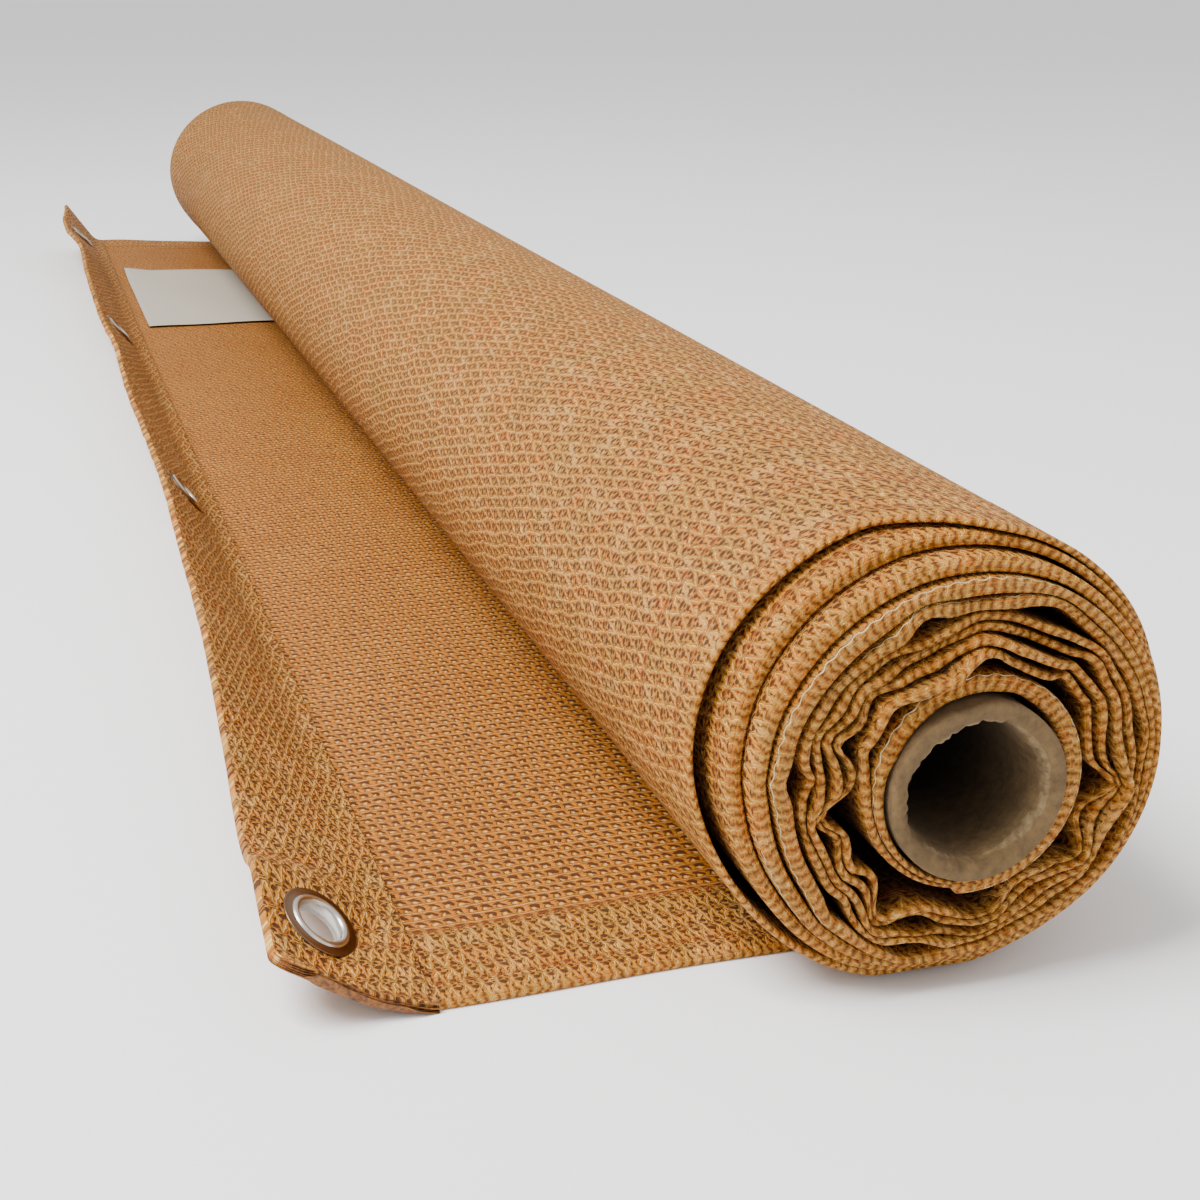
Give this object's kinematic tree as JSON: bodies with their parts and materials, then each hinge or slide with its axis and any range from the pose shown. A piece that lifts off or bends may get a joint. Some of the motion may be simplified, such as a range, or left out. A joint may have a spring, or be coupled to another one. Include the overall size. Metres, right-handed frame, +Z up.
{
  "type": "privacy screen netting roll",
  "caption": "Knitted privacy screen netting wound on a cardboard core, with a loose eyeletted end lying flat on the floor.",
  "frame": {"origin": "on the floor, under the middle of the whole object's box", "axes": "+Z up, the roll's axis along Y with the near end facing -Y, the loose end lying towards -X"},
  "size_m": [0.2508, 1.552, 0.1365],
  "materials": {
    "netting": "knitted tan tape and cream thread, matt with a faint sheen",
    "cardboard": "raw spiral-wound board, torn inner rim",
    "eyelet_metal": "nickel plated, polished inner rim",
    "label_cloth": "bare woven label, off-white"
  },
  "bodies": {
    "root": {"core_tube": "cardboard", "wound_roll": "netting", "loose_flap": "netting", "eyelet_hem": "netting", "label": "label_cloth", "eyelet_1": "eyelet_metal", "eyelet_2": "eyelet_metal", "eyelet_3": "eyelet_metal", "eyelet_4": "eyelet_metal"}
  },
  "joints": []
}
